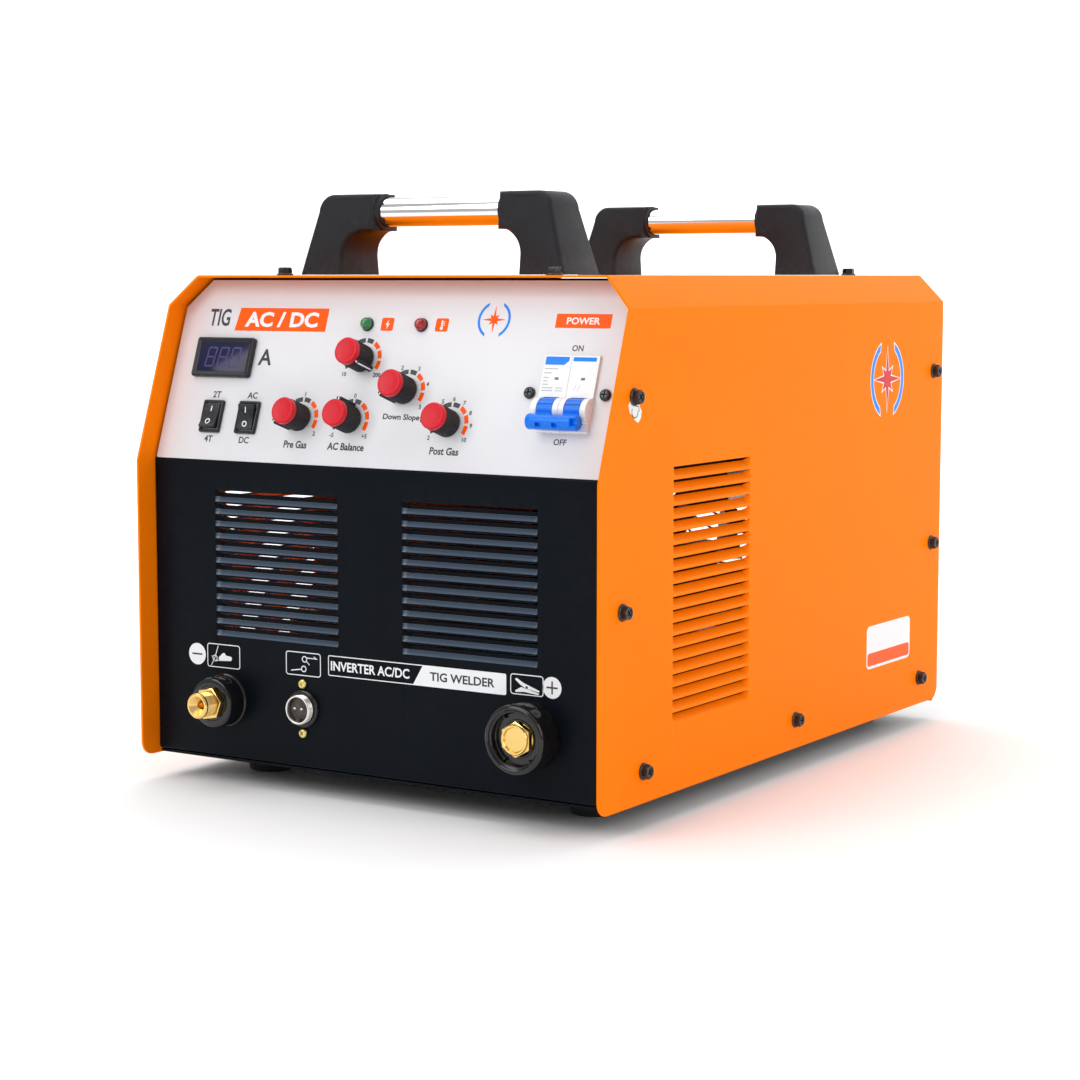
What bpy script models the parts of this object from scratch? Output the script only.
"""AC/DC inverter TIG welding machine, built as an assembly of separate parts.

Frame: metres, +Z up, +X to the right as seen from the front, -Y towards the
user. The origin is on the floor, under the middle of the case.

Three empties carry the parts that sit on a face of the case. In each of them
X runs across the face, Y runs up it and Z points straight out of it:
slope_frame on the sloped control panel, front_frame on the lower front and
rear_frame on the back.
"""

import math

import bmesh
import bpy
from mathutils import Matrix, Vector

# ---- Case ------------------------------------------------------------------
CASE_WIDTH = 0.333
CASE_DEPTH = 0.464
CASE_HEIGHT = 0.298
CASE_LIFT = 0.015            # floor to the cover's bottom edge
KINK_HEIGHT = 0.1847         # cover's bottom edge to where its front slopes back
FRONT_SETBACK = 0.0386       # how far the slope sets the top edge back
TOP_CHAMFER = 0.0182
CORNER_RADIUS = 0.009        # lower corners of the cover's sides
COVER_SHEET = 0.0014
PANEL_SHEET = 0.0016
PANEL_RECESS = 0.015         # front panel behind the cover's front edge
REAR_RECESS = 0.003
PANEL_FLANGE = 0.012
GAP = 0.0003                 # between pieces that touch
SHEET_GAP = 0.0007           # between the cover and the sheets inside it

# ---- Base tray and feet ----------------------------------------------------
TRAY_LIFT = 0.0006           # tray's underside above the cover's bottom edge
TRAY_WALL = 0.029
TRAY_END = 0.004             # tray's walls stop this far from the panels' flanges
FOOT_X = 0.1205
FOOT_FRONT_INSET = 0.0718    # foot's axis behind the cover's front edge
FOOT_REAR_INSET = 0.0376
FOOT_BOTTOM_RADIUS = 0.0145
FOOT_TOP_RADIUS = 0.0165
FOOT_BORE_RADIUS = 0.006
FOOT_BORE_DEPTH = 0.006

# ---- Louvres ---------------------------------------------------------------
LOUVRE_PITCH = 0.0075
LOUVRE_WIDTH = 0.094
LOUVRE_HEIGHT = 0.0052
LOUVRE_PRESS = 0.0040        # how far a slat is pressed in
SIDE_LOUVRES = 20
SIDE_LOUVRE_INSET = 0.129    # middle of the row behind the cover's front edge
SIDE_LOUVRE_TOP = 0.1893     # above the cover's bottom edge
FRONT_LOUVRES = 12
FRONT_LOUVRE_X = 0.0702
FRONT_LOUVRE_DROP = 0.0171   # below the kink

# ---- Sloped control panel: places are (across, up the slope) ---------------
OVERLAY_SHEET = 0.0006
OVERLAY_MARGIN = 0.0012
KNOBS = {
    "current": (-0.0188, 0.0670),
    "down_slope": (0.0166, 0.0483),
    "post_gas": (0.0512, 0.0294),
    "ac_balance": (-0.0194, 0.0294),
    "pre_gas": (-0.0570, 0.0294),
}
KNOB_REST_DEG = {            # where each pointer stands, clockwise from the top
    "current": 130.0,
    "down_slope": -130.0,
    "post_gas": -100.0,
    "ac_balance": 0.0,
    "pre_gas": -130.0,
}
KNOB_RADIUS = 0.0084
KNOB_HEIGHT = 0.0145
KNOB_TAPER = 0.0003
KNOB_EDGE = 0.0006           # chamfer at the knob's top
KNOB_WALL = 0.0022           # round the recess that holds the cap
KNOB_CAP_INSET = 0.0003      # cap's rim inside the knob's side
KNOB_CAP_HEIGHT = 0.0034
KNOB_CAP_EDGE = 0.0010
KNOB_SPIGOT_DEPTH = 0.0016
KNOB_POINTER = 0.0022        # how far the pointer stands out of the knob
KNOB_POINTER_WIDTH = 0.0034
SHAFT_RADIUS = 0.003
SHAFT_CLEARANCE = 0.0004
SHAFT_HOLE_CLEARANCE = 0.0012
SHAFT_DEPTH = 0.0105         # below the panel's face
DISPLAY_AT = (-0.1240, 0.0658)
DISPLAY_SIZE = (0.0447, 0.0250)
DISPLAY_WALL = 0.0032
DISPLAY_CORNER = 0.0015
DISPLAY_PROUD = 0.0030
WINDOW_SINK = 0.0008         # window's face below the bezel's
WINDOW_SEAT = 0.0012         # window's seat below the panel pieces' base
WINDOW_CORNER = 0.0008
DISPLAY_DEPTH = 0.011
SWITCHES = {"mode": (-0.1247, 0.0284), "output": (-0.0968, 0.0284)}
SWITCH_END_OUT = {"mode": -1.0, "output": 1.0}   # 1 upper, -1 lower
SWITCH_SIZE = (0.0158, 0.0206)
SWITCH_CORNER = 0.0012
SWITCH_WALL = 0.0017
SWITCH_PROUD = 0.0018
SWITCH_DEPTH = 0.017
ROCKER_TILT_DEG = 10.0       # each way from level
ROCKER_REACH = 0.0078        # pivot to the rocker's end
ROCKER_CLEARANCE = 0.0004
LEDS = {"green": (-0.0203, 0.0886), "red": (0.0190, 0.0886)}
LED_RADIUS = 0.0042
LED_HEIGHT = 0.0052
LED_COLLAR = 0.0012          # straight stretch under the dome
BREAKER_AT = (0.1276, 0.0493)
BREAKER_NOSE = (0.0360, 0.0450)
BREAKER_NOSE_PROUD = 0.0017
BREAKER_CORNER = 0.0006
BREAKER_BODY_HEIGHT = 0.078
BREAKER_DEPTH = 0.048
BREAKER_CHEEK_RADIUS = 0.0076
BREAKER_SCREW_SPREAD = 0.0250
BREAKER_SCREW_RADIUS = 0.0034
TOGGLE_DROP = 0.0100         # pivot below the nose's middle
TOGGLE_SINK = 0.0015         # pivot below the nose's face
TOGGLE_X = 0.0090            # each toggle from the breaker's middle
TOGGLE_WIDTH = 0.0100
TOGGLE_CLEARANCE = 0.0004
TOGGLE_HUB_INSET = 0.0002    # toggle's hub inside the cheeks
TOGGLE_THICKNESS = 0.0056
TOGGLE_SWING_DEG = 44.0      # each way from straight out
TIE_RADIUS = 0.0045
TIE_LENGTH = 0.0330
TIE_GAP = 0.0007             # between the tie bar and the cheeks

# ---- Lower front: places are (across, above the floor) ----------------------
CONNECTOR_HEIGHT = 0.0538
TORCH_X = -0.1094
TORCH_BOSS_RADIUS = 0.0155
TORCH_BOSS_PROUD = 0.0155
TORCH_HEX = 0.018            # across flats
TORCH_HEX_LENGTH = 0.0035
TORCH_THREAD_RADIUS = 0.008
TORCH_TIP = 0.0135           # beyond the boss
TORCH_MOUTH_RADIUS = 0.0060
TORCH_BORE_RADIUS = 0.0026
OUTPUT_X = 0.1116
OUTPUT_BOSS_RADIUS = 0.0200
OUTPUT_BOSS_PROUD = 0.0175
OUTPUT_BOSS_WALL = 0.0050
OUTPUT_RECESS_DEPTH = 0.0050
OUTPUT_INSERT_RADIUS = 0.0100
OUTPUT_BORE_RADIUS = 0.0065
OUTPUT_MOUTH_RADIUS = 0.0078
OUTPUT_BORE_DEPTH = 0.030
OUTPUT_FLOOR = 0.0030        # behind the bore
OUTPUT_STUD_LENGTH = 0.0110
OUTPUT_MOUTH_SINK = 0.0015   # insert's face below the boss's
REMOTE_X = -0.0499
REMOTE_SHELL_RADIUS = 0.0090
REMOTE_FLANGE_RADIUS = 0.0115
REMOTE_FLANGE = 0.0022
REMOTE_PROUD = 0.0075
REMOTE_BORE_RADIUS = 0.0076
REMOTE_PIN_RADIUS = 0.0010
REMOTE_BARREL = 0.0060       # length of the shell behind the panel's face
REMOTE_INSERT = 0.0050       # thickness of the pins' disc
REMOTE_SCREW_SPREAD = 0.0150
REMOTE_SCREW_RADIUS = 0.0028
SMALL_EDGE = 0.0010          # chamfer of a moulded or turned edge

# ---- Top handles -----------------------------------------------------------
HANDLE_FRONT_INSET = 0.0956  # handle's middle behind the cover's front edge
HANDLE_REAR_INSET = 0.0405
POST_BASE_INNER = 0.0648
POST_BASE_OUTER = 0.0967
POST_TOP_OUTER = 0.0853
POST_COLLAR_X = 0.0458       # where the bar comes out of the post
POST_CROWN = 0.0020          # wall of the post above the bar
POST_BASE_DEPTH = 0.0418
POST_TOP_DEPTH = 0.0306
POST_SHOULDER = 0.0090
POST_COLLAR_WALL = 0.0022
POST_BEVEL = 0.0016
BAR_RADIUS = 0.0089
BAR_HEIGHT = 0.0385          # bar's axis above the cover
BAR_GRIP = 0.022             # length of bar inside each post

# ---- Rear ------------------------------------------------------------------
FAN_HEIGHT = 0.170           # fan's axis above the floor
FAN_WALL = 0.0050            # frame's wall at its thinnest
FAN_CORNER = 0.006
FAN_DEPTH = 0.045
FAN_BORE_RADIUS = 0.0700
FAN_BLADES = 7
FAN_HUB_RADIUS = 0.024
FAN_TIP_GAP = 0.0030
FAN_SPOKE = 0.006            # width and height of the motor's supports
FAN_MOTOR = 0.014            # height of the motor's fixed half
FAN_ROTOR_GAP = 0.0015
BLADE_SHEET = 0.0018         # measured along the fan's axis
BLADE_CHORDS = (0.36, 0.26)  # half of the angle a blade covers, at root and tip
BLADE_SWEEP = 0.08
GUARD_WIRE = 0.0024
GUARD_STEP = 0.0240          # between the guard's rings
GUARD_RINGS = 3
INLET_HEIGHT = 0.052
GLAND_X = 0.105
GLAND_RADIUS = 0.0110
GLAND_NUT = 0.026            # across flats
GLAND_NUT_HEIGHT = 0.006
GLAND_PROUD = 0.0165
GLAND_SHOULDER = 0.0040      # length of the gland's coned end
GLAND_LIP = 0.0020
GLAND_BORE_RADIUS = 0.0058
GAS_INLET_X = -0.105
GAS_INLET_RADIUS = 0.0065
GAS_INLET_NUT = 0.017        # across flats
GAS_INLET_NUT_HEIGHT = 0.005
GAS_INLET_PROUD = 0.0170
GAS_INLET_BORE_RADIUS = 0.0022
BARBS = 3
BARB_RADIUS = 0.0042
INLET_TAIL = 0.012           # length of an inlet's body inside the case

# ---- Inside ----------------------------------------------------------------
BOARD_SHEET = 0.0016
CONTROL_BOARD_BACK = 0.0146  # front of the board behind the panel's face
CONTROL_BOARD_MARGIN = 0.014
POT_RADIUS = 0.008
POT_HEIGHT = 0.0085
HEATSINK_SIZE = (0.150, 0.190, 0.052)
HEATSINK_Y = 0.030
HEATSINK_BASE = 0.008
HEATSINK_FINS = 13
HEATSINK_FIN = 0.0022
MAIN_BOARD_RISE = 0.012      # above the heatsink
MAIN_BOARD_MARGIN = 0.004
CAPACITOR_RADIUS = 0.0175
CAPACITOR_HEIGHT = 0.050
CAPACITORS = 3
CAPACITOR_PITCH = 0.042
CAPACITOR_INSET = 0.028      # from the heatsink's rear edge
TRANSISTOR_SIZE = (0.016, 0.020)
TRANSISTOR_ROWS = (0.18, 0.34, 0.50)   # shares of the heatsink's depth
TRANSFORMER_CORE = (0.030, 0.078, 0.064)
TRANSFORMER_COIL = (0.056, 0.050, 0.044)
TRANSFORMER_COIL_CORNER = 0.010
TRANSFORMER_AT = (0.122, -0.010)
REACTOR_RADIUS = 0.038
REACTOR_HOLE_RADIUS = 0.015
REACTOR_WIDTH = 0.040
REACTOR_ROUND_OFF = 0.006
REACTOR_AT = (-0.122, 0.040)
STARTER_SIZE = (0.060, 0.070, 0.048)
STARTER_X = 0.110
STARTER_SETBACK = 0.092      # middle of the module behind the front panel
STARTER_STUD = (0.004, 0.010)   # radius and height
VALVE_COIL = (0.030, 0.034, 0.036)
VALVE_X = -0.108
VALVE_SETBACK = 0.082
VALVE_PORT_RADIUS = 0.006
VALVE_PORT_REACH = 0.016

# ---- Fineness --------------------------------------------------------------
ROUND = 24                   # sides of a round piece
SMALL_ROUND = 16
TINY_ROUND = 12

# ---- Derived places --------------------------------------------------------
CASE_TOP = CASE_LIFT + CASE_HEIGHT
CASE_FRONT = -CASE_DEPTH / 2
CASE_REAR = CASE_DEPTH / 2
KINK_Z = CASE_LIFT + KINK_HEIGHT
PANEL_Y = CASE_FRONT + PANEL_RECESS
REAR_PANEL_Y = CASE_REAR - REAR_RECESS
SLOPE = math.atan2(FRONT_SETBACK, CASE_HEIGHT - KINK_HEIGHT)
SHEET_INSET = COVER_SHEET + SHEET_GAP
TRAY_BOTTOM = CASE_LIFT + TRAY_LIFT
TRAY_TOP = TRAY_BOTTOM + PANEL_SHEET
PANEL_BOTTOM = TRAY_TOP + SHEET_GAP
INNER_TOP = CASE_TOP - SHEET_INSET
SLOPE_LENGTH = (INNER_TOP - KINK_Z) / math.cos(SLOPE)
OVERLAY_TOP = GAP + OVERLAY_SHEET
FACE = OVERLAY_TOP + GAP     # where pieces on the overlay start
TOGGLE_PIVOT = FACE + BREAKER_NOSE_PROUD - TOGGLE_SINK
TIE_REACH = BREAKER_CHEEK_RADIUS + TIE_GAP + TIE_RADIUS
KNOB_SPIGOT_RADIUS = KNOB_RADIUS - KNOB_WALL
KNOB_CAP_RADIUS = KNOB_RADIUS - KNOB_CAP_INSET
OUTPUT_RECESS_RADIUS = OUTPUT_BOSS_RADIUS - OUTPUT_BOSS_WALL
POST_HEIGHT = BAR_HEIGHT + BAR_RADIUS + POST_CROWN
FAN_SIZE = 2 * (FAN_BORE_RADIUS + FAN_WALL)
BEHIND_PANEL = -PANEL_SHEET - GAP

# Colour, roughness and metallic value of each finish.
FINISHES = {
    "orange_paint": ((1.0, 0.216, 0.002), 0.45, 0.0),
    "black_paint": ((0.010, 0.012, 0.015), 0.50, 0.0),
    "white_film": ((0.80, 0.80, 0.82), 0.40, 0.0),
    "grained_plastic": ((0.030, 0.033, 0.038), 0.60, 0.0),
    "black_plastic": ((0.015, 0.016, 0.018), 0.45, 0.0),
    "knob_plastic": ((0.022, 0.023, 0.026), 0.50, 0.0),
    "red_plastic": ((0.65, 0.012, 0.025), 0.40, 0.0),
    "white_plastic": ((0.75, 0.76, 0.77), 0.35, 0.0),
    "blue_plastic": ((0.0, 0.15, 0.75), 0.35, 0.0),
    "green_lens": ((0.05, 0.60, 0.10), 0.15, 0.0),
    "red_lens": ((0.70, 0.03, 0.02), 0.15, 0.0),
    "smoked_window": ((0.008, 0.008, 0.035), 0.10, 0.0),
    "rubber": ((0.012, 0.012, 0.012), 0.80, 0.0),
    "chrome": ((0.85, 0.85, 0.86), 0.08, 1.0),
    "nickel": ((0.70, 0.69, 0.66), 0.25, 1.0),
    "yellow_zinc": ((0.75, 0.60, 0.28), 0.35, 1.0),
    "brass": ((0.80, 0.58, 0.26), 0.30, 1.0),
    "aluminium": ((0.72, 0.73, 0.74), 0.40, 1.0),
    "green_board": ((0.02, 0.17, 0.06), 0.45, 0.0),
    "ferrite": ((0.05, 0.05, 0.055), 0.70, 0.0),
    "enamelled_wire": ((0.45, 0.12, 0.03), 0.35, 0.0),
}


# ---- Scene helpers ---------------------------------------------------------

def clear_scene():
    """Remove every object of the open scene."""
    for item in list(bpy.data.objects):
        bpy.data.objects.remove(item, do_unlink=True)


def finish_material(name, finish):
    """Return a new Principled material for one part."""
    colour, roughness, metallic = FINISHES[finish]
    material = bpy.data.materials.new(name)
    material.use_nodes = True
    shader = material.node_tree.nodes["Principled BSDF"]
    shader.inputs["Base Color"].default_value = (*colour, 1.0)
    shader.inputs["Roughness"].default_value = roughness
    shader.inputs["Metallic"].default_value = metallic
    material.diffuse_color = (*colour, 1.0)
    return material


def make_object(name, bm, parent=None, at=(0.0, 0.0, 0.0)):
    """Turn a bmesh into a scene object with outward faces."""
    bmesh.ops.recalc_face_normals(bm, faces=bm.faces)
    mesh = bpy.data.meshes.new(name)
    bm.to_mesh(mesh)
    bm.free()
    item = bpy.data.objects.new(name, mesh)
    bpy.context.scene.collection.objects.link(item)
    item.parent = parent
    item.location = at
    return item


def make_part(name, bm, finish, parent=None, at=(0.0, 0.0, 0.0), smooth_deg=35.0):
    """Make one named part with its own material."""
    part = make_object(name, bm, parent, at)
    part.data.materials.append(finish_material(name, finish))
    part.data.shade_smooth()
    part.data.set_sharp_from_angle(angle=math.radians(smooth_deg))
    return part


def combine(part, label, bm, operation):
    """Apply a hidden shape, given in the part's own coordinates, to a part."""
    shape = make_object(f"{part.name}_{label}", bm, part)
    shape.hide_render = True
    shape.display_type = "WIRE"
    modifier = part.modifiers.new(label, "BOOLEAN")
    modifier.object = shape
    modifier.operation = operation
    modifier.solver = "EXACT"
    return shape


def add(part, label, bm):
    """Join a shape to a part."""
    return combine(part, label, bm, "UNION")


def cut(part, label, bm):
    """Cut a shape out of a part."""
    return combine(part, label, bm, "DIFFERENCE")


def keep(part, label, bm):
    """Keep only what lies inside a shape."""
    return combine(part, label, bm, "INTERSECT")


def bevel(part, width, segments=1):
    """Break the sharp edges of a part."""
    modifier = part.modifiers.new("edge", "BEVEL")
    modifier.width = width
    modifier.segments = segments
    modifier.limit_method = "ANGLE"
    modifier.angle_limit = math.radians(40.0)


def make_frame(name, location, rotation):
    """Make an empty whose Z points out of one face of the case."""
    frame = bpy.data.objects.new(name, None)
    bpy.context.scene.collection.objects.link(frame)
    frame.location = location
    frame.rotation_euler = rotation
    return frame


# ---- Shape helpers ---------------------------------------------------------

def add_box(bm, low, high):
    """Add a box between two corners."""
    middle = (Vector(low) + Vector(high)) / 2
    size = Vector(high) - Vector(low)
    matrix = Matrix.Translation(middle) @ Matrix.Diagonal((*size, 1.0))
    bmesh.ops.create_cube(bm, size=1.0, matrix=matrix)


def add_prism(bm, outline, low, high, along="Z"):
    """Extrude an outline along an axis; its pairs are the other two axes."""
    places = {
        "X": lambda a, b, t: (t, a, b),
        "Y": lambda a, b, t: (a, t, b),
        "Z": lambda a, b, t: (a, b, t),
    }
    place = places[along]
    first = [bm.verts.new(place(a, b, low)) for a, b in outline]
    last = [bm.verts.new(place(a, b, high)) for a, b in outline]
    bm.faces.new(first)
    bm.faces.new(reversed(last))
    for i, vertex in enumerate(first):
        j = (i + 1) % len(first)
        bm.faces.new((vertex, first[j], last[j], last[i]))


def add_turned(bm, profile, sides=ROUND, at=(0.0, 0.0), ring=False):
    """Turn a profile of (radius, height) pairs about Z.

    The profile runs from axis to axis, or is a closed loop if ring is set.
    """
    rows = []
    for radius, height in profile:
        if radius < 1e-9:
            rows.append([bm.verts.new((at[0], at[1], height))] * sides)
            continue
        turns = [math.tau * i / sides for i in range(sides)]
        rows.append([
            bm.verts.new((at[0] + radius * math.cos(t), at[1] + radius * math.sin(t), height))
            for t in turns
        ])
    pairs = list(zip(rows, rows[1:]))
    if ring:
        pairs.append((rows[-1], rows[0]))
    for low, high in pairs:
        for i in range(sides):
            j = (i + 1) % sides
            corners = dict.fromkeys((low[i], low[j], high[j], high[i]))
            bm.faces.new(tuple(corners))


def add_drum(bm, radius, low, high, sides=ROUND, at=(0.0, 0.0)):
    """Add a plain cylinder along Z."""
    outline = circle(radius, sides, at)
    add_prism(bm, outline, low, high)


def circle(radius, sides, at=(0.0, 0.0)):
    """Return a round outline."""
    turns = [math.tau * i / sides for i in range(sides)]
    return [(at[0] + radius * math.cos(t), at[1] + radius * math.sin(t)) for t in turns]


def arc(middle, radius, start_deg, stop_deg, steps=4):
    """Return the points of an arc."""
    turns = [math.radians(start_deg + (stop_deg - start_deg) * i / steps) for i in range(steps + 1)]
    return [(middle[0] + radius * math.cos(t), middle[1] + radius * math.sin(t)) for t in turns]


def rounded(size, radius, steps=3, at=(0.0, 0.0)):
    """Return a rectangle's outline with round corners, centred on a point."""
    a, b = size[0] / 2 - radius, size[1] / 2 - radius
    x, y = at
    return (
        arc((x + a, y + b), radius, 0, 90, steps)
        + arc((x - a, y + b), radius, 90, 180, steps)
        + arc((x - a, y - b), radius, 180, 270, steps)
        + arc((x + a, y - b), radius, 270, 360, steps)
    )


def shape(maker, *details, **options):
    """Return a new bmesh holding one shape."""
    bm = bmesh.new()
    maker(bm, *details, **options)
    return bm


# ---- Case sheets -----------------------------------------------------------

def case_section(inset, bottom):
    """Return the case's chamfered cross-section (x, z), inset all round."""
    half = CASE_WIDTH / 2 - inset
    top = CASE_TOP - inset
    chamfer = TOP_CHAMFER - inset * (2.0 - math.sqrt(2.0))
    return [
        (-half, bottom), (-half, top - chamfer), (-half + chamfer, top),
        (half - chamfer, top), (half, top - chamfer), (half, bottom),
    ]


def slope_y(z, base):
    """Return y on a front that is at base up to the kink and slopes above it."""
    return base + max(0.0, z - KINK_Z) * math.tan(SLOPE)


def front_band(near, far, bottom):
    """Return the (y, z) outline of a band behind the panel's face."""
    top = CASE_TOP + PANEL_FLANGE
    # A line moved back square to the slope meets one moved back level here.
    kink_drop = math.tan(SLOPE / 2.0)

    def line(depth):
        kink = (PANEL_Y + depth, KINK_Z - depth * kink_drop)
        rise = top - kink[1]
        return [(PANEL_Y + depth, bottom), kink, (kink[0] + rise * math.tan(SLOPE), top)]

    return line(near) + line(far)[::-1]


def louvre_shapes(count, across, top, to_sheet, sheet):
    """Return the scoops to add behind a sheet and the hollows to cut.

    Each louvre is sheared along its top edge and pressed in. Before to_sheet
    places them, Z points out of the sheet's face and Y runs up it.
    """
    scoops, hollows = bmesh.new(), bmesh.new()
    low_x, high_x = across - LOUVRE_WIDTH / 2, across + LOUVRE_WIDTH / 2
    fall = LOUVRE_PRESS / LOUVRE_HEIGHT
    lead = 2.0 * GAP
    for i in range(count):
        high = top - i * LOUVRE_PITCH
        low = high - LOUVRE_HEIGHT
        deep = LOUVRE_PRESS + sheet
        scoop = [(low - sheet, -sheet / 2), (high - GAP, -deep), (high - GAP, -sheet / 2)]
        past = high + lead
        hollow = [
            (low - lead, lead * fall), (past, -fall * (past - low)), (past, -sheet - GAP),
            (high, -sheet - GAP), (high, lead * fall),
        ]
        add_prism(scoops, scoop, low_x, high_x, along="X")
        add_prism(hollows, hollow, low_x + sheet, high_x - sheet, along="X")
    for bm in (scoops, hollows):
        bmesh.ops.transform(bm, matrix=to_sheet, verts=bm.verts)
    return scoops, hollows


def face_matrix(origin, x_axis, y_axis):
    """Return the matrix of a face from its origin and two of its axes."""
    x_axis, y_axis = Vector(x_axis), Vector(y_axis)
    z_axis = x_axis.cross(y_axis)
    matrix = Matrix((x_axis, y_axis, z_axis)).transposed().to_4x4()
    matrix.translation = origin
    return matrix


def make_cover():
    """Make the folded top-and-sides cover with its louvred sides."""
    outer = case_section(0.0, CASE_LIFT)
    inner = case_section(COVER_SHEET, CASE_LIFT)
    cover = make_part(
        "cover_shell",
        shape(add_prism, outer + inner[::-1], CASE_FRONT, CASE_REAR, along="Y"),
        "orange_paint",
    )
    above = CASE_TOP + PANEL_FLANGE
    radius = CORNER_RADIUS
    side = (
        arc((CASE_FRONT + radius, CASE_LIFT + radius), radius, 270, 180)
        + [(CASE_FRONT, KINK_Z), (slope_y(above, CASE_FRONT), above), (CASE_REAR, above)]
        + arc((CASE_REAR - radius, CASE_LIFT + radius), radius, 360, 270)
    )
    keep(cover, "side_outline", shape(add_prism, side, -CASE_WIDTH, CASE_WIDTH, along="X"))
    row_y = CASE_FRONT + SIDE_LOUVRE_INSET
    row_top = CASE_LIFT + SIDE_LOUVRE_TOP
    for label, sign in (("right", 1.0), ("left", -1.0)):
        face = face_matrix((sign * CASE_WIDTH / 2, 0.0, 0.0), (0.0, sign, 0.0), (0.0, 0.0, 1.0))
        scoops, hollows = louvre_shapes(SIDE_LOUVRES, sign * row_y, row_top, face, COVER_SHEET)
        add(cover, f"{label}_scoops", scoops)
        cut(cover, f"{label}_louvres", hollows)


def make_pan(name, near_band, pocket_band, finish, bottom):
    """Make a panel with a flange round its edge that follows the cover."""
    section = case_section(SHEET_INSET, bottom)
    pan = make_part(
        name, shape(add_prism, section, CASE_FRONT, CASE_REAR, along="Y"), finish,
    )
    half = CASE_WIDTH
    keep(pan, "band", shape(add_prism, near_band, -half, half, along="X"))
    hollow = case_section(SHEET_INSET + PANEL_SHEET, bottom + PANEL_SHEET)
    pocket = cut(
        pan, "pocket", shape(add_prism, hollow, 2 * CASE_FRONT, 2 * CASE_REAR, along="Y"),
    )
    keep(pocket, "depth", shape(add_prism, pocket_band, -half, half, along="X"))
    return pan


def make_front_panel(slope_frame):
    """Make the folded front panel with its louvres and openings."""
    band = front_band(0.0, PANEL_FLANGE, PANEL_BOTTOM)
    pocket = front_band(PANEL_SHEET, 2 * PANEL_FLANGE, PANEL_BOTTOM - PANEL_FLANGE)
    panel = make_pan("front_panel", band, pocket, "black_paint", PANEL_BOTTOM)
    face = face_matrix((0.0, PANEL_Y, 0.0), (1.0, 0.0, 0.0), (0.0, 0.0, 1.0))
    for label, sign in (("right", 1.0), ("left", -1.0)):
        scoops, hollows = louvre_shapes(
            FRONT_LOUVRES, sign * FRONT_LOUVRE_X, KINK_Z - FRONT_LOUVRE_DROP, face, PANEL_SHEET,
        )
        add(panel, f"{label}_scoops", scoops)
        cut(panel, f"{label}_louvres", hollows)
    holes = bmesh.new()
    deep = 2 * PANEL_SHEET
    for x, radius in (
        (TORCH_X, TORCH_THREAD_RADIUS + 2 * GAP),
        (OUTPUT_X, OUTPUT_INSERT_RADIUS + 2 * GAP),
        (REMOTE_X, REMOTE_SHELL_RADIUS + GAP),
    ):
        add_drum(holes, radius, -deep, deep, at=(x, CONNECTOR_HEIGHT))
    bmesh.ops.transform(holes, matrix=face, verts=holes.verts)
    cut(panel, "connector_holes", holes)
    cut_slope_openings(panel, slope_frame, "openings", -deep, deep)


def slope_openings(low, high):
    """Return the openings that the sloped panel and its overlay share."""
    bm = bmesh.new()
    for at in KNOBS.values():
        add_drum(bm, SHAFT_RADIUS + SHAFT_HOLE_CLEARANCE, low, high, TINY_ROUND, at)
    for at in LEDS.values():
        add_drum(bm, LED_RADIUS + 2 * GAP, low, high, TINY_ROUND, at)
    for at in SWITCHES.values():
        add_prism(bm, rounded(switch_body_size(2 * GAP), GAP, 1, at), low, high)
    add_prism(bm, rounded(display_body_size(2 * GAP), GAP, 1, DISPLAY_AT), low, high)
    nose = [side + 2 * GAP for side in BREAKER_NOSE]
    add_prism(bm, rounded(nose, GAP, 1, BREAKER_AT), low, high)
    return bm


def cut_slope_openings(part, slope_frame, label, low, high):
    """Cut the shared openings out of a part that isn't in the slope's frame."""
    tool = cut(part, label, slope_openings(low, high))
    tool.parent = slope_frame


def make_overlay(slope_frame):
    """Make the printed film on the sloped panel, which follows its outline."""
    half = CASE_WIDTH / 2 - SHEET_INSET - OVERLAY_MARGIN
    top = SLOPE_LENGTH - OVERLAY_MARGIN
    chamfer = TOP_CHAMFER - SHEET_INSET * (2.0 - math.sqrt(2.0))
    start = OVERLAY_MARGIN
    outline = [
        (-half, start), (half, start), (half, top - chamfer / math.cos(SLOPE)),
        (half - chamfer, top), (-half + chamfer, top), (-half, top - chamfer / math.cos(SLOPE)),
    ]
    overlay = make_part(
        "control_overlay", shape(add_prism, outline, GAP, OVERLAY_TOP), "white_film", slope_frame,
    )
    cut(overlay, "openings", slope_openings(-GAP, 3 * OVERLAY_TOP))


def make_rear_panel(rear_frame):
    """Make the flat rear panel with the fan's opening and two inlets."""
    top = CASE_TOP + PANEL_FLANGE
    face_y, inner_y = REAR_PANEL_Y, REAR_PANEL_Y - PANEL_SHEET
    flange_y = REAR_PANEL_Y - PANEL_FLANGE
    band = [(flange_y, PANEL_BOTTOM), (flange_y, top), (face_y, top), (face_y, PANEL_BOTTOM)]
    low = PANEL_BOTTOM - PANEL_FLANGE
    pocket = [(0.0, low), (0.0, top), (inner_y, top), (inner_y, low)]
    panel = make_pan("rear_panel", band, pocket, "black_paint", PANEL_BOTTOM)
    deep = 2 * PANEL_SHEET
    holes = bmesh.new()
    add_drum(holes, FAN_BORE_RADIUS, -deep, deep, 2 * ROUND, at=(0.0, FAN_HEIGHT))
    add_drum(holes, GLAND_RADIUS + GAP, -deep, deep, at=(GLAND_X, INLET_HEIGHT))
    add_drum(holes, GAS_INLET_RADIUS + GAP, -deep, deep, at=(GAS_INLET_X, INLET_HEIGHT))
    tool = cut(panel, "openings", holes)
    tool.parent = rear_frame


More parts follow.
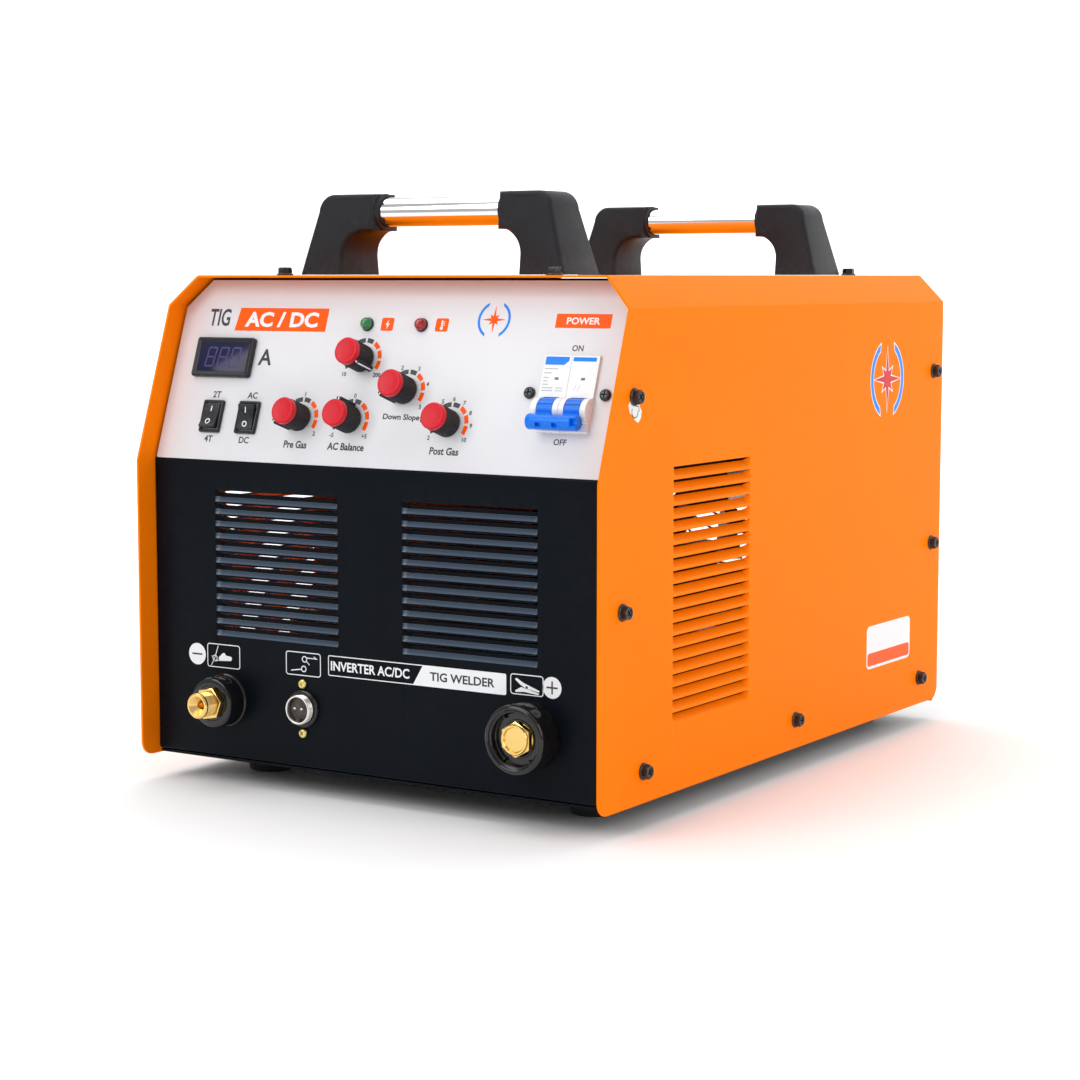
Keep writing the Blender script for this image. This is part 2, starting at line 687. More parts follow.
def make_tray():
    """Make the base tray that carries everything inside the case."""
    half = CASE_WIDTH / 2 - SHEET_INSET
    inner = half - PANEL_SHEET
    wall_top = TRAY_BOTTOM + TRAY_WALL
    channel = [
        (-half, wall_top), (-half, TRAY_BOTTOM), (half, TRAY_BOTTOM), (half, wall_top),
        (inner, wall_top), (inner, TRAY_TOP), (-inner, TRAY_TOP), (-inner, wall_top),
    ]
    wall_front = PANEL_Y + PANEL_FLANGE + TRAY_END
    wall_rear = REAR_PANEL_Y - PANEL_FLANGE - TRAY_END / 2
    tray = make_part(
        "base_tray", shape(add_prism, channel, wall_front, wall_rear, along="Y"), "black_paint",
    )
    floor_front, floor_rear = PANEL_Y + PANEL_SHEET, REAR_PANEL_Y - PANEL_SHEET
    low = (-half, floor_front, TRAY_BOTTOM)
    high = (half, floor_rear, TRAY_TOP)
    add(tray, "floor", shape(add_box, low, high))


def make_feet():
    """Make the four rubber feet, each with a recess for its screw."""
    top = TRAY_BOTTOM - GAP
    bore = FOOT_BORE_RADIUS
    profile = [
        (0.0, FOOT_BORE_DEPTH), (bore, FOOT_BORE_DEPTH), (bore, 0.0),
        (FOOT_BOTTOM_RADIUS - SMALL_EDGE, 0.0), (FOOT_BOTTOM_RADIUS, SMALL_EDGE),
        (FOOT_TOP_RADIUS, top), (0.0, top),
    ]
    rows = {"front": CASE_FRONT + FOOT_FRONT_INSET, "rear": CASE_REAR - FOOT_REAR_INSET}
    for row, y in rows.items():
        for side, x in (("left", -FOOT_X), ("right", FOOT_X)):
            foot = shape(add_turned, profile, SMALL_ROUND)
            make_part(f"foot_{row}_{side}", foot, "rubber", at=(x, y, 0.0))


# ---- Handles ---------------------------------------------------------------

def post_outline():
    """Return a post's front view (x, z), for the right-hand post."""
    base, top = CASE_TOP + GAP, CASE_TOP + POST_HEIGHT
    shoulder = POST_SHOULDER
    collar_radius = BAR_RADIUS + POST_COLLAR_WALL
    collar_low = CASE_TOP + BAR_HEIGHT - collar_radius
    fillet = POST_BASE_INNER - POST_COLLAR_X - shoulder / 3
    fillet_middle = (POST_BASE_INNER - fillet, collar_low - fillet)
    return (
        [(POST_BASE_INNER, base), (POST_BASE_OUTER, base)]
        + arc((POST_TOP_OUTER - shoulder, top - shoulder), shoulder, 0, 90)
        + [(POST_COLLAR_X, top), (POST_COLLAR_X, collar_low)]
        + arc(fillet_middle, fillet, 90, 0)
    )


def make_handles():
    """Make both carrying handles: two posts and a chromed bar each."""
    rows = {
        "front": CASE_FRONT + HANDLE_FRONT_INSET,
        "rear": CASE_REAR - HANDLE_REAR_INSET,
    }
    middle_z = CASE_TOP + BAR_HEIGHT
    for row, y in rows.items():
        for side, sign in (("left", -1.0), ("right", 1.0)):
            bm = bmesh.new()
            outline = [(sign * x, z) for x, z in post_outline()]
            add_prism(bm, outline, -0.5, 0.5, along="Y")
            for vertex in bm.verts:
                rise = (vertex.co.z - CASE_TOP) / POST_HEIGHT
                depth = POST_BASE_DEPTH + (POST_TOP_DEPTH - POST_BASE_DEPTH) * rise
                vertex.co.y *= depth
            post = make_part(
                f"handle_post_{row}_{side}", bm, "grained_plastic", at=(0.0, y, 0.0),
            )
            bevel(post, POST_BEVEL)
            bore = circle(BAR_RADIUS + GAP, ROUND, (0.0, middle_z))
            ends = sorted((0.0, sign * (POST_COLLAR_X + BAR_GRIP)))
            cut(post, "bar_bore", shape(add_prism, bore, *ends, along="X"))
        reach = POST_COLLAR_X + BAR_GRIP - GAP
        bar = circle(BAR_RADIUS, ROUND, (0.0, middle_z))
        make_part(
            f"handle_bar_{row}", shape(add_prism, bar, -reach, reach, along="X"), "chrome",
            at=(0.0, y, 0.0),
        )


# ---- Control panel pieces --------------------------------------------------

def make_knobs(slope_frame):
    """Make each knob, on its shaft, and the red cap pressed into it."""
    low, high = FACE + 2 * GAP, FACE + KNOB_HEIGHT
    recess = KNOB_SPIGOT_RADIUS + GAP
    floor = high - KNOB_SPIGOT_DEPTH - GAP
    body = [
        (0.0, -SHAFT_DEPTH), (SHAFT_RADIUS, -SHAFT_DEPTH), (SHAFT_RADIUS, low),
        (KNOB_RADIUS, low), (KNOB_RADIUS - KNOB_TAPER, high - KNOB_EDGE),
        (KNOB_RADIUS - KNOB_TAPER - KNOB_EDGE, high),
        (recess, high), (recess, floor), (0.0, floor),
    ]
    cap_low = high + GAP
    cap_high = cap_low + KNOB_CAP_HEIGHT
    cap = [
        (0.0, floor + GAP), (KNOB_SPIGOT_RADIUS, floor + GAP), (KNOB_SPIGOT_RADIUS, cap_low),
        (KNOB_CAP_RADIUS, cap_low), (KNOB_CAP_RADIUS, cap_high - KNOB_CAP_EDGE),
        (KNOB_CAP_RADIUS - KNOB_CAP_EDGE, cap_high), (0.0, cap_high),
    ]
    for name, at in KNOBS.items():
        turn = (0.0, 0.0, -math.radians(KNOB_REST_DEG[name]))
        knob = make_part(
            f"knob_{name}", shape(add_turned, body, SMALL_ROUND), "knob_plastic",
            slope_frame, (*at, 0.0),
        )
        knob.rotation_euler = turn
        half = KNOB_POINTER_WIDTH / 2
        pointer = shape(
            add_box, (-half, KNOB_RADIUS - KNOB_WALL / 2, low),
            (half, KNOB_RADIUS + KNOB_POINTER, high - GAP),
        )
        add(knob, "pointer", pointer)
        top = make_part(
            f"knob_cap_{name}", shape(add_turned, cap, SMALL_ROUND), "red_plastic",
            slope_frame, (*at, 0.0),
        )
        top.rotation_euler = turn


def display_body_size(extra):
    """Return the size of the display's body behind the panel."""
    return [side - DISPLAY_WALL + extra for side in DISPLAY_SIZE]


def make_display(slope_frame):
    """Make the digital meter's bezel and the dark window set in it."""
    at = (*DISPLAY_AT, 0.0)
    high = FACE + DISPLAY_PROUD
    bezel = make_part(
        "display_bezel", shape(add_prism, rounded(DISPLAY_SIZE, DISPLAY_CORNER), FACE, high),
        "black_plastic", slope_frame, at,
    )
    body = rounded(display_body_size(-2 * GAP), WINDOW_CORNER, 1)
    add(bezel, "body", shape(add_prism, body, -DISPLAY_DEPTH, FACE + GAP))
    window = [side - 2 * DISPLAY_WALL for side in DISPLAY_SIZE]
    floor = FACE - WINDOW_SEAT
    cut(bezel, "window", shape(add_prism, rounded(window, WINDOW_CORNER, 1), floor, 2 * high))
    pane = [side - 2 * GAP for side in window]
    make_part(
        "display_window",
        shape(add_prism, rounded(pane, WINDOW_CORNER - GAP, 1), floor + GAP, high - WINDOW_SINK),
        "smoked_window", slope_frame, at,
    )


def switch_body_size(extra):
    """Return the size of a switch's body behind the panel."""
    return [side - SWITCH_WALL + extra for side in SWITCH_SIZE]


def make_switches(slope_frame):
    """Make both rocker switches: a housing and a rocker each."""
    high = FACE + SWITCH_PROUD
    well = [side - 2 * SWITCH_WALL for side in SWITCH_SIZE]
    well_floor = high - ROCKER_REACH - 2 * ROCKER_CLEARANCE
    half_width = well[0] / 2 - ROCKER_CLEARANCE
    reach = ROCKER_REACH
    tilt = math.radians(ROCKER_TILT_DEG)
    rise = reach * math.tan(tilt)
    # One half of the rocker's outline, as shares of its reach and its rise.
    dish = [(reach * 0.55, rise * 0.45), (reach * 0.98, rise)]
    underside = [(reach * 0.96, -rise * 0.6), (reach * 0.62, -reach * 0.6)]
    half_outline = dish + underside
    rocker_outline = (
        [(0.0, rise * 0.15)] + half_outline + [(-y, z) for y, z in reversed(half_outline)]
    )
    for name, at in SWITCHES.items():
        housing = make_part(
            f"switch_housing_{name}",
            shape(add_prism, rounded(SWITCH_SIZE, SWITCH_CORNER), FACE, high),
            "black_plastic", slope_frame, (*at, 0.0),
        )
        body = rounded(switch_body_size(-2 * GAP), GAP, 1)
        add(housing, "body", shape(add_prism, body, -SWITCH_DEPTH, FACE + GAP))
        cut(housing, "well", shape(add_prism, rounded(well, GAP, 1), well_floor, 2 * high))
        rocker = make_part(
            f"rocker_{name}",
            shape(add_prism, rocker_outline, -half_width, half_width, along="X"),
            "black_plastic", slope_frame, (*at, high),
        )
        rocker.rotation_euler = (SWITCH_END_OUT[name] * tilt, 0.0, 0.0)


def make_leds(slope_frame):
    """Make the round indicator lamps."""
    base, dome = FACE + LED_COLLAR, LED_HEIGHT - LED_COLLAR
    for name, at in LEDS.items():
        profile = [(0.0, -CONTROL_BOARD_BACK + GAP), (LED_RADIUS, -CONTROL_BOARD_BACK + GAP)]
        profile += [
            (LED_RADIUS * math.cos(t), base + dome * math.sin(t))
            for t in (0.0, 0.4, 0.8, 1.2)
        ]
        profile.append((0.0, base + dome))
        lamp = shape(add_turned, profile, SMALL_ROUND)
        make_part(f"indicator_{name}", lamp, f"{name}_lens", slope_frame, (*at, 0.0))


def make_breaker(slope_frame):
    """Make the two-pole breaker, its tied toggle and its two screws."""
    at = (*BREAKER_AT, 0.0)
    high = FACE + BREAKER_NOSE_PROUD
    nose = rounded(BREAKER_NOSE, BREAKER_CORNER, 1)
    body = make_part(
        "breaker_body", shape(add_prism, nose, 2 * BEHIND_PANEL, high), "white_plastic",
        slope_frame, at,
    )
    case = rounded((BREAKER_NOSE[0], BREAKER_BODY_HEIGHT), BREAKER_CORNER, 1)
    add(body, "case", shape(add_prism, case, -BREAKER_DEPTH, BEHIND_PANEL))
    pivot = (-TOGGLE_DROP, TOGGLE_PIVOT)
    half = BREAKER_NOSE[0] / 2 - GAP
    cheeks = circle(BREAKER_CHEEK_RADIUS, ROUND, pivot)
    add(body, "cheeks", shape(add_prism, cheeks, -half, half, along="X"))
    slot = circle(BREAKER_CHEEK_RADIUS + TOGGLE_CLEARANCE / 2, ROUND, pivot)
    hub = circle(BREAKER_CHEEK_RADIUS - TOGGLE_HUB_INSET, ROUND)
    thick = TOGGLE_THICKNESS / 2
    lever = [(-thick, 0.0), (thick, 0.0), (thick, TIE_REACH), (-thick, TIE_REACH)]
    slots, hubs, levers = bmesh.new(), bmesh.new(), bmesh.new()
    wide = TOGGLE_WIDTH / 2
    for x in (-TOGGLE_X, TOGGLE_X):
        reach = wide + TOGGLE_CLEARANCE
        add_prism(slots, slot, x - reach, x + reach, along="X")
        add_prism(hubs, hub, x - wide, x + wide, along="X")
        add_prism(levers, lever, x - wide + GAP, x + wide - GAP, along="X")
    cut(body, "slots", slots)
    tie = circle(TIE_RADIUS, SMALL_ROUND, (0.0, TIE_REACH))
    toggle = make_part(
        "breaker_toggle", shape(add_prism, tie, -TIE_LENGTH / 2, TIE_LENGTH / 2, along="X"),
        "blue_plastic", slope_frame, (BREAKER_AT[0], BREAKER_AT[1] - TOGGLE_DROP, TOGGLE_PIVOT),
    )
    toggle.rotation_euler = (math.radians(TOGGLE_SWING_DEG), 0.0, 0.0)
    add(toggle, "levers", levers)
    add(toggle, "hubs", hubs)
    for side, sign in (("left", -1.0), ("right", 1.0)):
        place = (BREAKER_AT[0] + sign * BREAKER_SCREW_SPREAD, BREAKER_AT[1], FACE)
        make_screw(
            f"breaker_screw_{side}", slope_frame, place, BREAKER_SCREW_RADIUS, "black_plastic",
        )


def make_screw(name, parent, at, radius, finish):
    """Make a pan-head screw whose head stands on a face."""
    height = radius * 0.75
    profile = [
        (0.0, 0.0), (radius, 0.0), (radius, height * 0.5), (radius * 0.6, height), (0.0, height),
    ]
    screw = make_part(name, shape(add_turned, profile, TINY_ROUND), finish, parent, at)
    reach, half = radius * 0.5, radius * 0.12
    recess = height * 0.6
    cut(screw, "recess", shape(add_box, (-reach, -half, recess), (reach, half, 2 * height)))


# ---- Lower front pieces ----------------------------------------------------

def make_output_socket(front_frame):
    """Make the bayonet output socket: an insulating boss and a brass insert."""
    at = (OUTPUT_X, CONNECTOR_HEIGHT, 0.0)
    high = OUTPUT_BOSS_PROUD
    bore = OUTPUT_INSERT_RADIUS + GAP
    recess_floor = high - OUTPUT_RECESS_DEPTH
    boss = [
        (bore, GAP), (OUTPUT_BOSS_RADIUS, GAP), (OUTPUT_BOSS_RADIUS, high - SMALL_EDGE),
        (OUTPUT_BOSS_RADIUS - SMALL_EDGE, high), (OUTPUT_RECESS_RADIUS + SMALL_EDGE, high),
        (OUTPUT_RECESS_RADIUS, recess_floor), (bore, recess_floor),
    ]
    make_part(
        "output_socket_boss", shape(add_turned, boss, ROUND, ring=True), "black_plastic",
        front_frame, at,
    )
    mouth = high - OUTPUT_MOUTH_SINK
    bore_floor = mouth - OUTPUT_BORE_DEPTH
    back = bore_floor - OUTPUT_FLOOR
    stud = OUTPUT_INSERT_RADIUS * 0.6
    insert = [
        (0.0, back - OUTPUT_STUD_LENGTH), (stud, back - OUTPUT_STUD_LENGTH),
        (stud, back), (OUTPUT_INSERT_RADIUS, back), (OUTPUT_INSERT_RADIUS, mouth),
        (OUTPUT_MOUTH_RADIUS, mouth), (OUTPUT_BORE_RADIUS, mouth - SMALL_EDGE),
        (OUTPUT_BORE_RADIUS, bore_floor), (0.0, bore_floor),
    ]
    make_part("output_socket_insert", shape(add_turned, insert), "brass", front_frame, at)


def make_torch_connector(front_frame):
    """Make the torch outlet: a boss, and a brass gas-and-power connector."""
    at = (TORCH_X, CONNECTOR_HEIGHT, 0.0)
    high = TORCH_BOSS_PROUD
    bore = TORCH_THREAD_RADIUS + GAP
    boss = [
        (bore, GAP), (TORCH_BOSS_RADIUS, GAP), (TORCH_BOSS_RADIUS, high - SMALL_EDGE),
        (TORCH_BOSS_RADIUS - SMALL_EDGE, high), (bore, high),
    ]
    make_part(
        "torch_boss", shape(add_turned, boss, ROUND, ring=True), "black_plastic", front_frame, at,
    )
    tip = high + TORCH_TIP
    back = -VALVE_PORT_REACH
    cone = TORCH_MOUTH_RADIUS - TORCH_BORE_RADIUS
    body = [
        (TORCH_BORE_RADIUS, back), (TORCH_THREAD_RADIUS, back),
        (TORCH_THREAD_RADIUS, tip - SMALL_EDGE), (TORCH_THREAD_RADIUS - SMALL_EDGE, tip),
        (TORCH_MOUTH_RADIUS, tip),
        (TORCH_BORE_RADIUS, tip - 1.5 * cone),
    ]
    connector = make_part(
        "torch_connector", shape(add_turned, body, ROUND, ring=True), "brass", front_frame, at,
    )
    low = high + GAP
    add_nut(connector, TORCH_HEX, low, low + TORCH_HEX_LENGTH, TORCH_THREAD_RADIUS * 0.7)


def add_nut(part, flats, low, high, bore):
    """Join a hexagonal nut round a turned part, open inside the bore radius."""
    corner = flats / math.sqrt(3.0)
    loop = [(bore, low), (corner, low), (corner, high), (bore, high)]
    add(part, "nut", shape(add_turned, loop, 6, ring=True))


def make_remote_socket(front_frame):
    """Make the remote control socket: shell, pin insert and two screws."""
    at = (REMOTE_X, CONNECTOR_HEIGHT, 0.0)
    bore = REMOTE_BORE_RADIUS
    shell = [
        (bore, -REMOTE_BARREL), (REMOTE_SHELL_RADIUS, -REMOTE_BARREL), (REMOTE_SHELL_RADIUS, GAP),
        (REMOTE_FLANGE_RADIUS, GAP), (REMOTE_FLANGE_RADIUS, REMOTE_FLANGE),
        (REMOTE_SHELL_RADIUS, REMOTE_FLANGE), (REMOTE_SHELL_RADIUS, REMOTE_PROUD),
        (bore, REMOTE_PROUD),
    ]
    make_part(
        "remote_socket_shell", shape(add_turned, shell, ROUND, ring=True), "nickel",
        front_frame, at,
    )
    disc = shape(add_drum, bore - GAP, -REMOTE_INSERT, 0.0)
    insert = make_part("remote_socket_insert", disc, "black_plastic", front_frame, at)
    pins = bmesh.new()
    for sign in (-1.0, 1.0):
        place = (sign * bore * 0.42, 0.0)
        add_drum(pins, REMOTE_PIN_RADIUS, -REMOTE_INSERT / 2, REMOTE_PROUD * 0.7, 8, place)
    add(insert, "pins", pins)
    for label, sign in (("upper", 1.0), ("lower", -1.0)):
        place = (REMOTE_X, CONNECTOR_HEIGHT + sign * REMOTE_SCREW_SPREAD, GAP)
        make_screw(
            f"remote_screw_{label}", front_frame, place, REMOTE_SCREW_RADIUS, "yellow_zinc",
        )


# ---- Rear pieces -----------------------------------------------------------

def make_fan(rear_frame):
    """Make the cooling fan inside the rear panel, and its wire guard."""
    at = (0.0, FAN_HEIGHT, 0.0)
    front, back = -PANEL_SHEET - GAP, -PANEL_SHEET - GAP - FAN_DEPTH
    frame = make_part(
        "fan_frame", shape(add_prism, rounded((FAN_SIZE, FAN_SIZE), FAN_CORNER), back, front),
        "black_plastic", rear_frame, at,
    )
    bore = shape(add_drum, FAN_BORE_RADIUS, back - GAP, front + GAP, 2 * ROUND)
    cut(frame, "bore", bore)
    motor_top = back + FAN_MOTOR
    reach = FAN_BORE_RADIUS + FAN_TIP_GAP
    half = FAN_SPOKE / 2
    for label, angle in (("rising", math.pi / 4), ("falling", -math.pi / 4)):
        spoke = shape(add_box, (-reach, -half, back), (reach, half, back + FAN_SPOKE))
        bmesh.ops.transform(spoke, matrix=Matrix.Rotation(angle, 4, "Z"), verts=spoke.verts)
        add(frame, f"{label}_spoke", spoke)
    add(frame, "motor", shape(add_drum, FAN_HUB_RADIUS, back - GAP, motor_top))
    make_rotor(rear_frame, at, motor_top + FAN_ROTOR_GAP, front - FAN_ROTOR_GAP)
    make_guard(rear_frame, at)


def make_rotor(rear_frame, at, low, high):
    """Make the fan's hub and twisted blades as one piece."""
    profile = [
        (0.0, low), (FAN_HUB_RADIUS, low), (FAN_HUB_RADIUS, high - SMALL_EDGE),
        (FAN_HUB_RADIUS - SMALL_EDGE, high), (0.0, high),
    ]
    rotor = make_part("fan_rotor", shape(add_turned, profile), "black_plastic", rear_frame, at)
    add(rotor, "blades", fan_blades(low + BLADE_SHEET, high - BLADE_SHEET))


def fan_blades(low, high):
    """Return the twisted blades, which start inside the hub."""
    root, tip = FAN_HUB_RADIUS - FAN_TIP_GAP, FAN_BORE_RADIUS - FAN_TIP_GAP
    steps = 3
    half = BLADE_SHEET / 2
    blades = bmesh.new()
    for i in range(FAN_BLADES):
        rows = []
        for share in (step / steps for step in range(steps + 1)):
            radius = root + (tip - root) * share
            chord = BLADE_CHORDS[0] + (BLADE_CHORDS[1] - BLADE_CHORDS[0]) * share
            middle = math.tau * i / FAN_BLADES + BLADE_SWEEP * share
            row = []
            for end, face in ((-1, -half), (-1, half), (1, half), (1, -half)):
                angle = middle + end * chord
                z = (low + half if end < 0 else high - half) + face
                row.append(blades.verts.new((radius * math.cos(angle), radius * math.sin(angle), z)))
            rows.append(row)
        blades.faces.new(rows[0])
        blades.faces.new(rows[-1][::-1])
        for near, far in zip(rows, rows[1:]):
            add_twisted_walls(blades, near, far)
    return blades


def add_twisted_walls(bm, near, far):
    """Join two four-sided rows, with the same diagonal on both broad faces."""
    for j in range(4):
        k = (j + 1) % 4
        if j < 2:
            bm.faces.new((near[j], near[k], far[k]))
            bm.faces.new((near[j], far[k], far[j]))
        else:
            bm.faces.new((near[j], near[k], far[j]))
            bm.faces.new((near[k], far[k], far[j]))


def make_guard(rear_frame, at):
    """Make the fan's wire guard: rings crossed by four spokes."""
    low = GAP
    wire = GUARD_WIRE
    reach = FAN_BORE_RADIUS + wire
    bars = shape(add_box, (-reach, -wire / 2, low), (reach, wire / 2, low + wire))
    guard = make_part("fan_guard", bars, "chrome", rear_frame, at)
    guard.rotation_euler = (0.0, 0.0, math.pi / 4)
    add(guard, "cross_bar", shape(add_box, (-wire / 2, -reach, low), (wire / 2, reach, low + wire)))
    for i in range(GUARD_RINGS):
        radius = FAN_BORE_RADIUS - i * GUARD_STEP
        sides = SMALL_ROUND if i else ROUND
        loop = [
            (radius - wire / 2, low + wire * 0.6), (radius + wire / 2, low + wire * 0.6),
            (radius + wire / 2, low + wire * 1.6), (radius - wire / 2, low + wire * 1.6),
        ]
        add(guard, f"ring_{i + 1}", shape(add_turned, loop, sides, ring=True))


def make_inlets(rear_frame):
    """Make the mains cable's gland and the gas inlet's hose barb."""
    high = GLAND_PROUD
    bore = GLAND_BORE_RADIUS
    gland = make_part(
        "cable_gland",
        shape(add_turned, [
            (bore, -INLET_TAIL), (GLAND_RADIUS, -INLET_TAIL),
            (GLAND_RADIUS, high - GLAND_SHOULDER), (bore + GLAND_LIP, high), (bore, high),
        ], ROUND, ring=True),
        "black_plastic", rear_frame, (GLAND_X, INLET_HEIGHT, 0.0),
    )
    add_nut(gland, GLAND_NUT, GAP, GLAND_NUT_HEIGHT, GLAND_RADIUS * 0.8)
    high = GAS_INLET_PROUD
    bore = GAS_INLET_BORE_RADIUS
    nut = GAS_INLET_NUT_HEIGHT
    tail = -INLET_TAIL
    profile = [(bore, tail), (GAS_INLET_RADIUS, tail), (GAS_INLET_RADIUS, nut - GAP)]
    step = (high - nut) / BARBS
    for start in (nut + i * step for i in range(BARBS)):
        profile += [(BARB_RADIUS, start), (BARB_RADIUS * 0.8, start + step * 0.9)]
    profile += [(BARB_RADIUS * 0.8, high), (bore, high)]
    inlet = make_part(
        "gas_inlet", shape(add_turned, profile, SMALL_ROUND, ring=True), "brass", rear_frame,
        (GAS_INLET_X, INLET_HEIGHT, 0.0),
    )
    add_nut(inlet, GAS_INLET_NUT, GAP, nut, GAS_INLET_RADIUS * 0.7)


# ---- Pieces inside the case ------------------------------------------------

def make_control_board(slope_frame):
    """Make the control board with the five potentiometers on its face."""
    xs = [x for x, _ in (*KNOBS.values(), *LEDS.values())]
    ys = [y for _, y in (*KNOBS.values(), *LEDS.values())]
    margin = CONTROL_BOARD_MARGIN
    front = -CONTROL_BOARD_BACK
    low = (min(xs) - margin, min(ys) - margin, front - BOARD_SHEET)
    high = (max(xs) + margin, max(ys) + margin, front)
    board = make_part("control_board", shape(add_box, low, high), "green_board", slope_frame)
    pots, bores = bmesh.new(), bmesh.new()
    pot_top = front + POT_HEIGHT
    for at in KNOBS.values():
        add_drum(pots, POT_RADIUS, front - BOARD_SHEET / 2, pot_top, TINY_ROUND, at)
        add_drum(bores, SHAFT_RADIUS + SHAFT_CLEARANCE, -SHAFT_DEPTH - GAP, 0.0, TINY_ROUND, at)
    add(board, "potentiometers", pots)
    cut(board, "shaft_bores", bores)


def make_power_stage():
    """Make the heatsink, and the main board that stands on it."""
    width, depth, height = HEATSINK_SIZE
    low, high = TRAY_TOP + GAP, TRAY_TOP + GAP + height
    front, rear = HEATSINK_Y - depth / 2, HEATSINK_Y + depth / 2
    comb = [(-width / 2, high), (-width / 2, low)]
    pitch = (width - HEATSINK_FIN) / (HEATSINK_FINS - 1)
    root = high - HEATSINK_BASE
    for i in range(HEATSINK_FINS - 1):
        left = -width / 2 + HEATSINK_FIN + i * pitch
        comb += [(left, low), (left, root), (left + pitch - HEATSINK_FIN, root)]
        comb += [(left + pitch - HEATSINK_FIN, low)]
    comb += [(width / 2, low), (width / 2, high)]
    make_part("heatsink", shape(add_prism, comb, front, rear, along="Y"), "aluminium")
    margin = MAIN_BOARD_MARGIN
    board_low = high + MAIN_BOARD_RISE
    corner = (width / 2 + margin, front - margin, board_low)
    board = make_part(
        "main_board",
        shape(
            add_box, (-corner[0], corner[1], board_low),
            (corner[0], rear + margin, board_low + BOARD_SHEET),
        ),
        "green_board",
    )
    parts = bmesh.new()
    for i in range(CAPACITORS):
        x = (i - (CAPACITORS - 1) / 2) * CAPACITOR_PITCH
        place = (x, rear - CAPACITOR_INSET)
        top = board_low + CAPACITOR_HEIGHT
        add_drum(parts, CAPACITOR_RADIUS, board_low + BOARD_SHEET / 2, top, SMALL_ROUND, place)
    for sign in (-1.0, 1.0):
        for y in (front + 4 * margin, rear - 4 * margin):
            place = (sign * (width / 2 - 2 * margin), y)
            add_drum(parts, margin, high + GAP, board_low + BOARD_SHEET / 2, 8, place)
        wide, long = TRANSISTOR_SIZE
        for y in (front + depth * share for share in TRANSISTOR_ROWS):
            x = sign * width / 4
            low_corner = (x - wide / 2, y - long / 2, high + GAP)
            high_corner = (x + wide / 2, y + long / 2, board_low + BOARD_SHEET / 2)
            add_box(parts, low_corner, high_corner)
    add(board, "components", parts)


def make_magnetics():
    """Make the main transformer and the output reactor on the tray."""
    base = TRAY_TOP + GAP
    x, y = TRANSFORMER_AT
    core = TRANSFORMER_CORE
    transformer = make_part(
        "main_transformer",
        shape(add_box, (-core[0] / 2, -core[1] / 2, 0.0), (core[0] / 2, core[1] / 2, core[2])),
        "ferrite", at=(x, y, base),
    )
    coil = TRANSFORMER_COIL
    outline = rounded((coil[0], coil[1]), TRANSFORMER_COIL_CORNER)
    low = (core[2] - coil[2]) / 2
    add(transformer, "coil", shape(add_prism, outline, low, low + coil[2]))
    x, y = REACTOR_AT
    half = REACTOR_WIDTH / 2
    round_off = REACTOR_ROUND_OFF
    ring = [
        (REACTOR_HOLE_RADIUS, -half + round_off), (REACTOR_HOLE_RADIUS + round_off, -half),
        (REACTOR_RADIUS - round_off, -half), (REACTOR_RADIUS, -half + round_off),
        (REACTOR_RADIUS, half - round_off), (REACTOR_RADIUS - round_off, half),
        (REACTOR_HOLE_RADIUS + round_off, half), (REACTOR_HOLE_RADIUS, half - round_off),
    ]
    bm = shape(add_turned, ring, ROUND, ring=True)
    bmesh.ops.transform(bm, matrix=Matrix.Rotation(math.pi / 2, 4, "Y"), verts=bm.verts)
    reactor = make_part(
        "output_reactor", bm, "enamelled_wire", at=(x, y, base + REACTOR_RADIUS),
    )
    saddle = (half, REACTOR_RADIUS * 0.7, -REACTOR_RADIUS)
    add(reactor, "saddle", shape(
        add_box, (-saddle[0], -saddle[1], saddle[2]), (saddle[0], saddle[1], saddle[2] * 0.86),
    ))


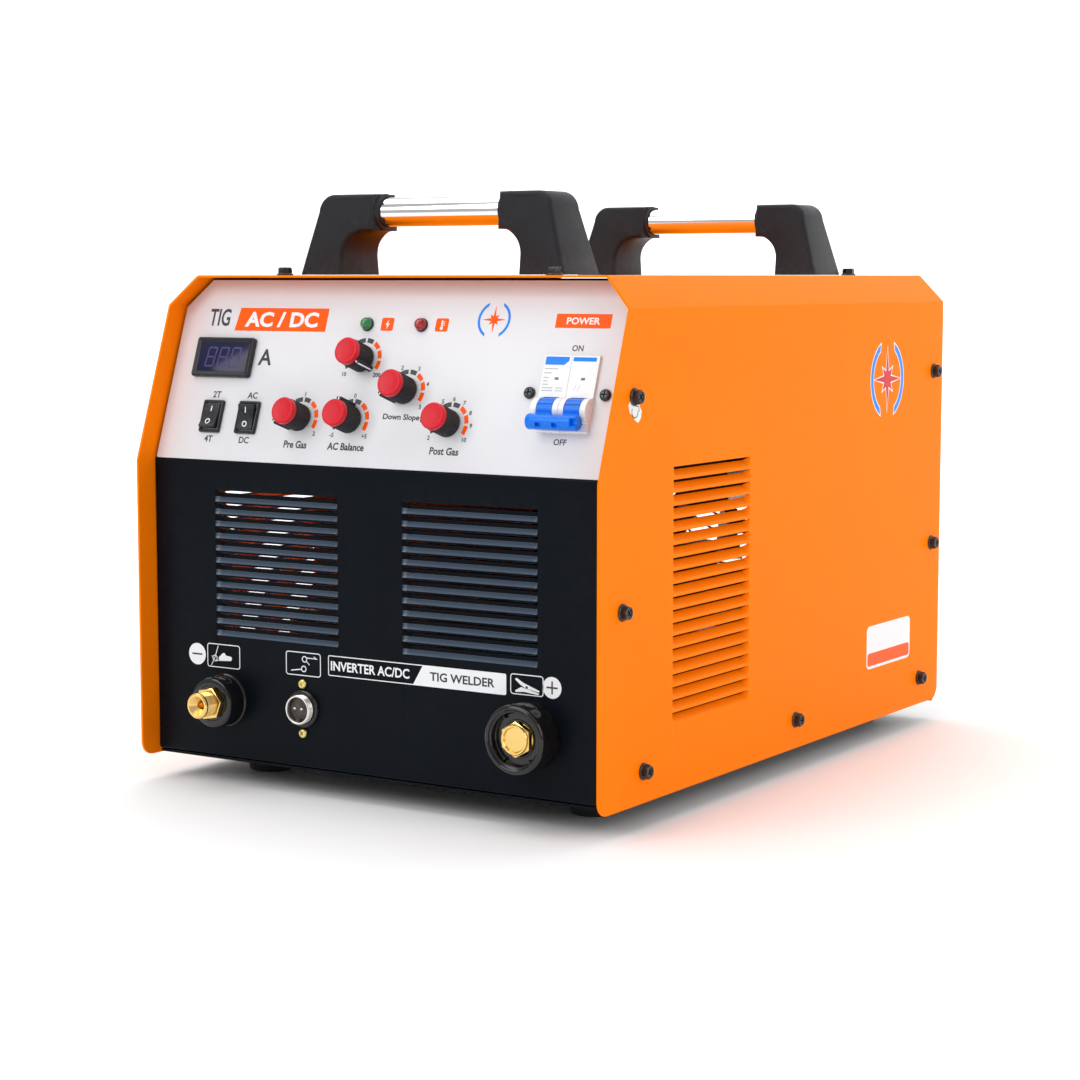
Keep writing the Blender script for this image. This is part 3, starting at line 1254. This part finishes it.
def make_starter_and_valve():
    """Make the arc starter's potted module and the gas solenoid valve."""
    base = TRAY_TOP + GAP
    size = STARTER_SIZE
    starter = make_part(
        "arc_starter",
        shape(add_box, (-size[0] / 2, -size[1] / 2, 0.0), (size[0] / 2, size[1] / 2, size[2])),
        "black_plastic", at=(STARTER_X, PANEL_Y + STARTER_SETBACK, base),
    )
    studs = bmesh.new()
    radius, height = STARTER_STUD
    for sign in (-1.0, 1.0):
        place = (0.0, sign * size[1] / 4)
        add_drum(studs, radius, size[2] - radius, size[2] + height, 8, place)
    add(starter, "terminals", studs)
    coil = VALVE_COIL
    axis = CONNECTOR_HEIGHT - base
    top = axis + VALVE_PORT_RADIUS * 1.6
    valve = make_part(
        "gas_valve",
        shape(add_box, (-coil[0] / 2, -coil[1] / 2, 0.0), (coil[0] / 2, coil[1] / 2, top)),
        "brass", at=(VALVE_X, PANEL_Y + VALVE_SETBACK, base),
    )
    reach = coil[1] / 2 + VALVE_PORT_REACH
    ports = circle(VALVE_PORT_RADIUS, SMALL_ROUND, (0.0, axis))
    add(valve, "ports", shape(add_prism, ports, -reach, reach, along="Y"))
    solenoid = shape(add_drum, coil[0] * 0.45, top - BOARD_SHEET, top + coil[2], SMALL_ROUND)
    add(valve, "coil", solenoid)


def main():
    """Build the whole machine."""
    clear_scene()
    upright = math.pi / 2
    slope_frame = make_frame("slope_frame", (0.0, PANEL_Y, KINK_Z), (upright - SLOPE, 0.0, 0.0))
    front_frame = make_frame("front_frame", (0.0, PANEL_Y, 0.0), (upright, 0.0, 0.0))
    rear_frame = make_frame("rear_frame", (0.0, REAR_PANEL_Y, 0.0), (upright, 0.0, math.pi))
    make_cover()
    make_front_panel(slope_frame)
    make_overlay(slope_frame)
    make_rear_panel(rear_frame)
    make_tray()
    make_feet()
    make_handles()
    make_knobs(slope_frame)
    make_display(slope_frame)
    make_switches(slope_frame)
    make_leds(slope_frame)
    make_breaker(slope_frame)
    make_output_socket(front_frame)
    make_torch_connector(front_frame)
    make_remote_socket(front_frame)
    make_fan(rear_frame)
    make_inlets(rear_frame)
    make_control_board(slope_frame)
    make_power_stage()
    make_magnetics()
    make_starter_and_valve()


main()
